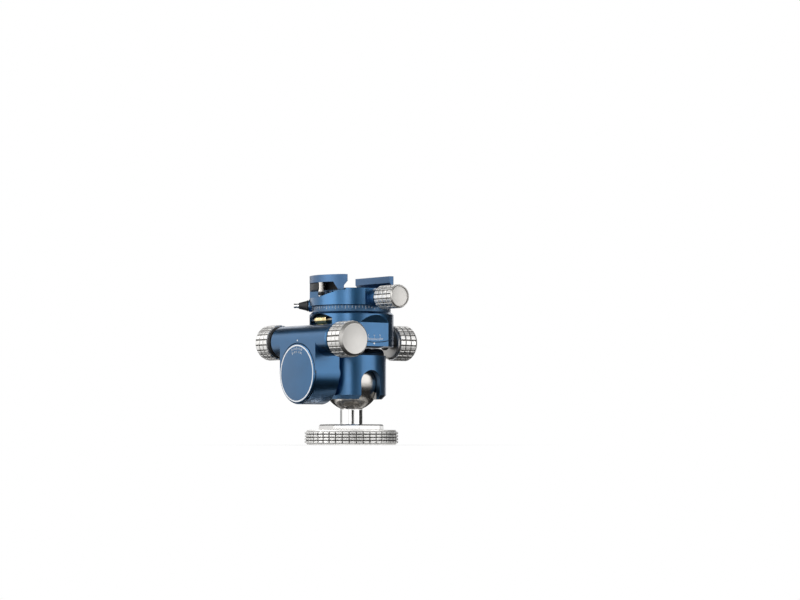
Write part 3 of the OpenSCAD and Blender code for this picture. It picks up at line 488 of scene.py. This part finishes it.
def addKnob(name, node, body, axis, look):
    low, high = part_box(node)
    direction = Vector(axis)
    length = abs(direction.dot(high - low)) / mm
    radius = (high.z - low.z) / 2 / mm
    core = radius - look["padDepth"]
    root = core - look["step"]
    collar = look["collar"]
    outer = radius - look["step"]
    face = outer - look["bevel"]
    padTop = length - look["end"]
    dishEdge = face - look["rim"]
    profile = softProfile([(0, 0, 0), (root - look["rootIn"], 0, look["rootSoft"]),
                           (root, collar, look["collarSoft"]), (core, collar + look["lift"], 0),
                           (core, padTop, 0), (outer, padTop, look["endSoft"]),
                           (face, length, look["bevelSoft"]), (dishEdge, length - look["rimDrop"], 0)])
    for share in look["dishRings"]:
        profile.append((dishEdge * share, length - look["recess"] - look["dish"] * (1 - share ** 2)))
    # materials: 0 pads, 1 end, 2 grooves (dark silver, painted shade), 3 root
    bm = bmesh.new()
    for skin in turned(bm, profile, look["segments"]):
        height = skin.calc_center_median().z / mm
        skin.material_index = 1 if height > padTop + look["lift"] else 3 if height < collar else 2
    addPads(bm, look, radius, collar, padTop)
    origin = (low + high) / 2 - direction * (length / 2 * mm)
    makePiece(name, bm, body, [blastedSilver, turnedSilver, shadedGrooveSilver, look["root"]],
              origin, axis, replaced=[node])


for name, (node, body, axis, look) in knobs.items():
    addKnob(name, node, body, axis, look)
print("knobs knurled")

# Dial: plain disc, white ring by its rim, short scale near the top
dialLook = {"spigot": 16.4, "spigotTall": 2.0, "spigotSoft": 0.2, "backSoft": 0.1, "sideSoft": 0.15,
            "bevel": 0.5, "faceSoft": 0.2, "ring": 17.4, "ringWide": 0.85, "ringSink": 0.15, "raise": 0.05,
            "tickLow": 14.8, "tickTall": 1.1, "longer": 1.5, "tickWide": 0.28, "tickStep": 5, "tickEach": 4,
            "digitAt": 13.3, "digitSize": 1.7, "digitStep": 10, "thick": 0.1, "segments": 160}
low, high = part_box("tilt_dial")
dialRadius = (high.x - low.x) / 2 / mm
dialDeep = (high.y - low.y) / mm
dialMid = Vector((0, high.y, (low.z + high.z) / 2))
out = Vector((0, -1, 0))
spigot = dialLook["spigot"]
spigotTall = dialLook["spigotTall"]
bevel = dialLook["bevel"]
bm = bmesh.new()
turned(bm, softProfile([(0, 0, 0), (spigot, 0, dialLook["spigotSoft"]), (spigot, spigotTall, 0),
                        (dialRadius, spigotTall, dialLook["backSoft"]),
                        (dialRadius, dialDeep - bevel, dialLook["sideSoft"]),
                        (dialRadius - bevel, dialDeep, dialLook["faceSoft"]), (0, dialDeep, 0)]),
       dialLook["segments"])
makePiece("tiltDial", bm, "lower_body", [blueAnodised], dialMid, out, replaced=["tilt_dial"])
ringIn = dialLook["ring"] - dialLook["ringWide"] / 2
ringOut = dialLook["ring"] + dialLook["ringWide"] / 2
ringLow = dialDeep - dialLook["ringSink"]
ringHigh = dialDeep + dialLook["raise"]
bm = bmesh.new()
turnedRing(bm, [(ringIn, ringLow), (ringOut, ringLow), (ringOut, ringHigh), (ringIn, ringHigh)],
           dialLook["segments"])
makePiece("dialRing", bm, "lower_body", [markWhite], dialMid, out)
dialFace = Vector((0, low.y / mm, dialMid.z / mm))
bm = bmesh.new()
for step in range(-dialLook["tickEach"], dialLook["tickEach"] + 1):
    degrees = step * dialLook["tickStep"]
    turn = math.radians(degrees)
    upward = Vector((math.sin(turn), 0, math.cos(turn)))
    numbered = degrees % dialLook["digitStep"] == 0
    tall = dialLook["tickTall"] * (dialLook["longer"] if numbered else 1)
    addBar(bm, dialFace + upward * (dialLook["tickLow"] + tall / 2), upward, out, tall,
           dialLook["tickWide"], dialLook["thick"])
    if numbered:
        addDigit(bm, str(abs(degrees)), dialFace + upward * dialLook["digitAt"],
                 Vector((math.cos(turn), 0, -math.sin(turn))), out, dialLook["digitSize"], dialLook["thick"])
makePiece("dialScale", bm, "lower_body", [markWhite])

# index dot over the dial, on the tilt block
indexLook = {"over": 1.7, "radius": 0.5, "thick": 0.1}
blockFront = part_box("tilt_block")[0].y / mm
bm = bmesh.new()
addDot(bm, Vector((0, blockFront, dialMid.z / mm + dialRadius + indexLook["over"])), out,
       indexLook["radius"], indexLook["thick"])
makePiece("dialIndex", bm, "tilt_block", [markWhite])

# Pan scale: ring with ticks, a longer one at every third
scaleLook = {"bore": 15.9, "footSoft": 0.15, "topSoft": 0.3, "step": 5, "longEach": 15, "tall": 1.3,
             "longer": 1.6, "wide": 0.26, "thick": 0.12, "topGap": 0.5, "segments": 160}
low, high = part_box("scale_ring")
scaleRadius = (high.x - low.x) / 2 / mm
scaleTall = (high.z - low.z) / mm
bm = bmesh.new()
turnedRing(bm, softProfile([(scaleLook["bore"], 0, 0), (scaleRadius, 0, scaleLook["footSoft"]),
                            (scaleRadius, scaleTall, scaleLook["topSoft"]),
                            (scaleLook["bore"], scaleTall, 0)]), scaleLook["segments"])
makePiece("panScale", bm, "arc_slide", [scaleBlue], (0, 0, low.z), replaced=["scale_ring"])
bm = bmesh.new()
tickTop = high.z / mm - scaleLook["topGap"]
for degrees in range(0, 360, scaleLook["step"]):
    turn = math.radians(degrees)
    outward = Vector((math.cos(turn), math.sin(turn), 0))
    tall = scaleLook["tall"] * (scaleLook["longer"] if degrees % scaleLook["longEach"] == 0 else 1)
    addBar(bm, outward * scaleRadius + Vector((0, 0, tickTop - tall / 2)), Vector((0, 0, 1)), outward,
           tall, scaleLook["wide"], scaleLook["thick"])
makePiece("panTicks", bm, "arc_slide", [markWhite])

# Arc scale: ticks on the slide's flat over the joint, index dot on the block below it
arcLook = {"axisUp": 54.5, "radius": 54.0, "each": 7, "longEach": 5, "tall": 1.2, "longer": 1.8, "wide": 0.3,
           "thick": 0.1, "digitUp": 2.9, "digitSize": 1.7, "flatUp": 3, "rayFrom": 100, "dotDrop": 1.5,
           "dotRadius": 0.6, "dotThick": 0.1}
wormMid = (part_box("gonio_knob")[0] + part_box("gonio_knob")[1]) / 2
arcMid = Vector((0, 0, wormMid.z / mm + arcLook["axisUp"]))
out = Vector((1, 0, 0))
flatStart = arcMid + Vector((arcLook["rayFrom"], 0, arcLook["flatUp"] - arcLook["radius"]))
flatAt = meets("gonio_slide", flatStart, -out).x
bm = bmesh.new()
for step in range(-arcLook["each"], arcLook["each"] + 1):
    turn = math.radians(step)
    downward = Vector((0, math.sin(turn), -math.cos(turn)))
    numbered = step % arcLook["longEach"] == 0
    tall = arcLook["longer"] if numbered else arcLook["tall"]
    spot = arcMid + downward * (arcLook["radius"] - tall / 2)
    addBar(bm, Vector((flatAt, spot.y, spot.z)), downward, out, tall, arcLook["wide"], arcLook["thick"])
    if numbered:
        spot = arcMid + downward * (arcLook["radius"] - arcLook["digitUp"])
        addDigit(bm, str(abs(step)), Vector((flatAt, spot.y, spot.z)),
                 Vector((0, math.cos(turn), math.sin(turn))), out, arcLook["digitSize"], arcLook["thick"])
makePiece("arcTicks", bm, "arc_slide", [markWhite])
dotStart = Vector((arcLook["rayFrom"], 0, wormMid.z / mm - arcLook["dotDrop"]))
bm = bmesh.new()
addDot(bm, meets("tilt_block", dotStart, -out), out, arcLook["dotRadius"], arcLook["dotThick"])
makePiece("arcIndex", bm, "tilt_block", [markWhite])
print("scales marked")

# Brass barrel: bored drum with turned grooves
barrelLook = {"bore": 1.02, "endSoft": 0.4, "grooves": 5, "firstAt": 0.2, "spacing": 0.12, "groove": 0.25,
              "grooveHalf": 0.3, "grooveSoft": 0.05, "segments": 64}
low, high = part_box("brass_barrel")
barrelRadius = (high.z - low.z) / 2 / mm
barrelLong = (high.x - low.x) / mm
grooveSoft = barrelLook["grooveSoft"]
grooveHalf = barrelLook["grooveHalf"]
corners = [(barrelLook["bore"], 0, 0), (barrelRadius, 0, barrelLook["endSoft"])]
for step in range(barrelLook["grooves"]):
    at = barrelLong * (barrelLook["firstAt"] + barrelLook["spacing"] * step)
    corners += [(barrelRadius, at - grooveHalf, grooveSoft),
                (barrelRadius - barrelLook["groove"], at, grooveSoft),
                (barrelRadius, at + grooveHalf, grooveSoft)]
corners += [(barrelRadius, barrelLong, barrelLook["endSoft"]), (barrelLook["bore"], barrelLong, 0)]
bm = bmesh.new()
turnedRing(bm, softProfile(corners), barrelLook["segments"])
makePiece("brassBarrel", bm, "arc_slide", [brass],
          (low.x, (low.y + high.y) / 2, (low.z + high.z) / 2), (1, 0, 0), replaced=["brass_barrel"])

# Index plunger: black cone with a bead at its root, steel pin with a neck and a rounded tip
plungerLook = {"angle": -129, "reach": 27.0, "gap": 0.3, "grip": 3.5, "gripLong": 6.2, "soft": 0.3,
               "beadLong": 0.9, "beadEnd": 1.2, "beadIn": 0.35, "beadSoft": 0.2, "coneOver": 0.45,
               "coneBack": 0.2, "endOver": 0.3, "endSoft": 0.1, "segments": 64}
pinLook = {"radius": 1.5, "start": 25.1, "end": 36.8, "rootSoft": 0.3, "neck": 1.25, "neckFrom": 2.2,
           "neckMid": 2.0, "neckTo": 1.8, "neckSoft": 0.1, "tipSoft": 0.5, "segments": 48}
turn = math.radians(plungerLook["angle"])
outward = Vector((math.cos(turn), math.sin(turn), 0))
low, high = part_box("plunger_grip")
plungerUp = (low.z + high.z) / 2
grip = plungerLook["grip"]
gripLong = plungerLook["gripLong"]
pin = pinLook["radius"]
soft = plungerLook["soft"]
bm = bmesh.new()
turnedRing(bm, softProfile([(pin, 0, 0), (grip, 0, soft), (grip, plungerLook["beadLong"], soft),
                            (grip - plungerLook["beadIn"], plungerLook["beadEnd"], plungerLook["beadSoft"]),
                            (pin + plungerLook["coneOver"], gripLong - plungerLook["coneBack"], soft),
                            (pin + plungerLook["endOver"], gripLong, plungerLook["endSoft"]),
                            (pin, gripLong, 0)]), plungerLook["segments"])
gripAt = outward * (plungerLook["reach"] + plungerLook["gap"]) * mm
makePiece("plungerGrip", bm, "plunger", [blackAnodised], (gripAt.x, gripAt.y, plungerUp),
          outward, replaced=["plunger_grip"])
pinLong = pinLook["end"] - pinLook["start"]
neckSoft = pinLook["neckSoft"]
bm = bmesh.new()
turned(bm, softProfile([(0, 0, 0), (pin, 0, pinLook["rootSoft"]),
                        (pin, pinLong - pinLook["neckFrom"], neckSoft),
                        (pinLook["neck"], pinLong - pinLook["neckMid"], neckSoft),
                        (pin, pinLong - pinLook["neckTo"], neckSoft),
                        (pin, pinLong, pinLook["tipSoft"]), (0, pinLong, 0)]), pinLook["segments"])
pinAt = outward * pinLook["start"] * mm
makePiece("plungerPin", bm, "plunger", [polishedSteel], (pinAt.x, pinAt.y, plungerUp),
          outward, replaced=["plunger_pin"])

# Cam shaft: satin pin with a small black foot and a neck over it
camLook = {"footSoft": 0.5, "foot": 1.6, "neckIn": 0.2, "neckLow": 1.8, "neckHigh": 2.1, "pinFrom": 2.3,
           "soft": 0.1, "lowRing": 2.8, "topRing": 0.6, "topSoft": 0.3, "blackTo": 2.0, "segments": 64}
low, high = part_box("cam_shaft")
shaftRadius = (high.x - low.x) / 2 / mm
shaftTall = (high.z - low.z) / mm
neck = shaftRadius - camLook["neckIn"]
soft = camLook["soft"]
camProfile = softProfile([(0, 0, 0), (shaftRadius, 0, camLook["footSoft"]),
                          (shaftRadius, camLook["foot"], soft),
                          (neck, camLook["neckLow"], soft), (neck, camLook["neckHigh"], soft),
                          (shaftRadius, camLook["pinFrom"], soft), (shaftRadius, camLook["lowRing"], 0),
                          (shaftRadius, shaftTall - camLook["topRing"], 0),
                          (shaftRadius, shaftTall, camLook["topSoft"]), (0, shaftTall, 0)])
bm = bmesh.new()
for skin in turned(bm, camProfile, camLook["segments"]):
    if skin.calc_center_median().z < camLook["blackTo"] * mm:
        skin.material_index = 1
makePiece("camShaft", bm, "lever", [satinSteel, blackSteel],
          ((low.x + high.x) / 2, (low.y + high.y) / 2, low.z), replaced=["cam_shaft"])

# Near-black sheet on the wall behind the lever: painted shade for the dark of the lever's slot
slotShadeLook = {"gap": 0.05, "thick": 0.25, "left": -16.5, "right": 12.4, "lean": 2.8, "under": 0.2,
             "over": 0.45}
low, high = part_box("clamp_lever")
wallY = high.y / mm + slotShadeLook["gap"]
slotShadeLow = low.z / mm - slotShadeLook["under"]
slotShadeHigh = high.z / mm + slotShadeLook["over"]
outline = [(slotShadeLook["left"], slotShadeLow), (slotShadeLook["right"] + slotShadeLook["lean"], slotShadeLow),
           (slotShadeLook["right"], slotShadeHigh), (slotShadeLook["left"], slotShadeHigh)]
bm = bmesh.new()
front, back = [[bm.verts.new((x * mm, y * mm, z * mm)) for x, z in outline]
               for y in (wallY, wallY + slotShadeLook["thick"])]
bm.faces.new(front)
bm.faces.new(back[::-1])
for corner in range(len(outline)):
    after = (corner + 1) % len(outline)
    bm.faces.new((front[corner], back[corner], back[after], front[after]))
makePiece("leverSlotShade", bm, "jaw", [slotShadeBlack])
print("small turned pieces made")

# camera at the photograph's angle, a few millimetres above the floor; the last six values are in pixels
view = {"azimuth": 54, "distance": 1.582, "height": 0.004, "sensor": 36, "clip": 0.05, "pixelFocal": 2500,
        "width": 800, "axisX": 351.5, "baseY": 445, "midX": 400, "midY": 300}
cameraData = bpy.data.cameras.new("camera")
cameraData.sensor_width = view["sensor"]
cameraData.lens = view["pixelFocal"] * view["sensor"] / view["width"]
cameraData.clip_start = view["clip"]
camera = bpy.data.objects.new("camera", cameraData)
scene.collection.objects.link(camera)
scene.camera = camera
side = math.radians(view["azimuth"])
camera.location = (view["distance"] * math.sin(side), -view["distance"] * math.cos(side), view["height"])
horizonY = view["baseY"] - view["height"] * view["pixelFocal"] / view["distance"]
yaw = math.atan((view["midX"] - view["axisX"]) / view["pixelFocal"])
pitch = math.atan((horizonY - view["midY"]) / view["pixelFocal"])
camera.rotation_euler = (math.pi / 2 + pitch, 0, side - yaw)


# 1 for camera, glossy and transmission rays
def paleRays(tree):
    path = addNode(tree, "ShaderNodeLightPath")
    first = addNode(tree, "ShaderNodeMath", operation="MAXIMUM")
    second = addNode(tree, "ShaderNodeMath", operation="MAXIMUM")
    tree.links.new(path.outputs["Is Camera Ray"], first.inputs[0])
    tree.links.new(path.outputs["Is Glossy Ray"], first.inputs[1])
    tree.links.new(first.outputs[0], second.inputs[0])
    tree.links.new(path.outputs["Is Transmission Ray"], second.inputs[1])
    return second


# The floor is white from some way out, and takes the shadow near the object
floorLook = {"radius": 6, "segments": 96, "colour": (0.86, 0.86, 0.86, 1), "rough": 0.9, "specular": 0.1,
             "near": 0.03, "far": 0.14, "nearShare": 0.55}
floorMaterial = bpy.data.materials.new("floorWhite")
floorMaterial.use_nodes = True
tree = floorMaterial.node_tree
matt = tree.nodes["Principled BSDF"]
matt.inputs["Base Color"].default_value = floorLook["colour"]
matt.inputs["Roughness"].default_value = floorLook["rough"]
matt.inputs["Specular IOR Level"].default_value = floorLook["specular"]
glow = addNode(tree, "ShaderNodeEmission", {"Strength": 1.0})
pale = paleRays(tree)
spot = addNode(tree, "ShaderNodeTexCoord")
away = addNode(tree, "ShaderNodeVectorMath", operation="LENGTH")
tree.links.new(spot.outputs["Object"], away.inputs[0])
fade = rangeNode(tree, floorLook["near"], floorLook["far"], floorLook["nearShare"], 1.0)
tree.links.new(away.outputs["Value"], fade.inputs["Value"])
share = addNode(tree, "ShaderNodeMath", operation="MULTIPLY")
tree.links.new(pale.outputs[0], share.inputs[0])
tree.links.new(fade.outputs["Result"], share.inputs[1])
mix = addNode(tree, "ShaderNodeMixShader")
tree.links.new(share.outputs[0], mix.inputs[0])
tree.links.new(matt.outputs[0], mix.inputs[1])
tree.links.new(glow.outputs[0], mix.inputs[2])
tree.links.new(mix.outputs[0], tree.nodes["Material Output"].inputs["Surface"])
floorMesh = bpy.data.meshes.new("floor")
bm = bmesh.new()
bmesh.ops.create_circle(bm, cap_ends=True, radius=floorLook["radius"], segments=floorLook["segments"])
bm.to_mesh(floorMesh)
bm.free()
floorMesh.materials.append(floorMaterial)
floor = bpy.data.objects.new("floor", floorMesh)
scene.collection.objects.link(floor)

# World: white where it is seen, dimmer where it lights
worldLook = {"seen": 1.0, "lit": 0.42, "tint": (0.96, 0.98, 1, 1)}
world = bpy.data.worlds.new("studio")
scene.world = world
world.use_nodes = True
tree = world.node_tree
seen = addNode(tree, "ShaderNodeBackground", {"Color": (1, 1, 1, 1), "Strength": worldLook["seen"]})
lit = addNode(tree, "ShaderNodeBackground", {"Color": worldLook["tint"], "Strength": worldLook["lit"]})
pale = paleRays(tree)
mix = addNode(tree, "ShaderNodeMixShader")
tree.links.new(pale.outputs[0], mix.inputs[0])
tree.links.new(lit.outputs[0], mix.inputs[1])
tree.links.new(seen.outputs[0], mix.inputs[2])
tree.links.new(mix.outputs[0], tree.nodes["World Output"].inputs["Surface"])

# Soft boxes, all turned to the middle of the head
softBoxes = {
    "keyBox": {"place": (-0.35, -0.75, 0.75), "size": 0.5, "power": 5},
    "rightBox": {"place": (0.95, 0.25, 0.45), "size": 0.4, "power": 2},
    "topBox": {"place": (0.05, 0.1, 1.0), "size": 0.6, "power": 4},
}
aim = Vector((0, 0, 0.06))
for name, box in softBoxes.items():
    lamp = bpy.data.lights.new(name, "AREA")
    lamp.shape = "SQUARE"
    lamp.size = box["size"]
    lamp.energy = box["power"]
    lampObject = bpy.data.objects.new(name, lamp)
    scene.collection.objects.link(lampObject)
    lampObject.location = box["place"]
    lampObject.rotation_euler = (aim - Vector(box["place"])).to_track_quat("-Z", "Y").to_euler()

# Studio cards that show only in reflections: pale panels and dark flags round the head, and three lying
cards = {
    "behindCard": {"azimuth": 240, "away": 0.6, "wide": 0.48, "tall": 0.20, "shade": 0.03},
    "leftCard": {"azimuth": 277, "away": 0.6, "wide": 0.26, "tall": 0.04, "shade": 0.05},
    "frontCard": {"azimuth": 350, "away": 0.7, "wide": 0.56, "tall": 0.50, "shade": 2.5},
    "glintCard": {"azimuth": 43, "away": 0.8, "wide": 0.22, "tall": 0.50, "shade": 2.8},
    "nearCard": {"azimuth": 63, "away": 0.8, "wide": 0.30, "tall": 0.50, "shade": 0.02},
    "edgeCard": {"azimuth": 80, "away": 0.8, "wide": 0.18, "tall": 0.50, "shade": 0.4},
    "rightCard": {"azimuth": 111, "away": 0.7, "wide": 0.62, "tall": 0.50, "shade": 1.8},
    "farCard": {"azimuth": 173, "away": 0.6, "wide": 0.75, "tall": 0.50, "shade": 0.03},
    "topCard": {"place": (-0.05, -0.043, 0.20), "wide": 0.60, "tall": 0.135, "shade": 0.03},
    "overCard": {"place": (0.0, 0.02, 0.20), "wide": 0.24, "tall": 0.34, "shade": 0.15},
    "lowCard": {"place": (0.0, 0.0, 0.0015), "wide": 0.28, "tall": 0.28, "shade": 0.03},
}
for name, card in cards.items():
    cardMaterial = bpy.data.materials.new(name)
    cardMaterial.use_nodes = True
    tree = cardMaterial.node_tree
    glow = addNode(tree, "ShaderNodeEmission", {"Strength": card["shade"]})
    tree.links.new(glow.outputs[0], tree.nodes["Material Output"].inputs["Surface"])
    cardMesh = bpy.data.meshes.new(name)
    bm = bmesh.new()
    bmesh.ops.create_grid(bm, x_segments=1, y_segments=1, size=0.5,
                          matrix=Matrix.Diagonal((card["wide"], card["tall"], 1, 1)))
    bm.to_mesh(cardMesh)
    bm.free()
    cardMesh.materials.append(cardMaterial)
    cardObject = bpy.data.objects.new(name, cardMesh)
    scene.collection.objects.link(cardObject)
    if "azimuth" in card:
        turn = math.radians(card["azimuth"])
        cardObject.location = (card["away"] * math.sin(turn), -card["away"] * math.cos(turn),
                               card["tall"] / 2)
        cardObject.rotation_euler = (math.pi / 2, 0, turn)
    else:
        cardObject.location = card["place"]
    cardObject.visible_camera = False
    cardObject.visible_diffuse = False
    cardObject.visible_shadow = False
    cardObject.visible_transmission = False
print("camera, floor and light set")
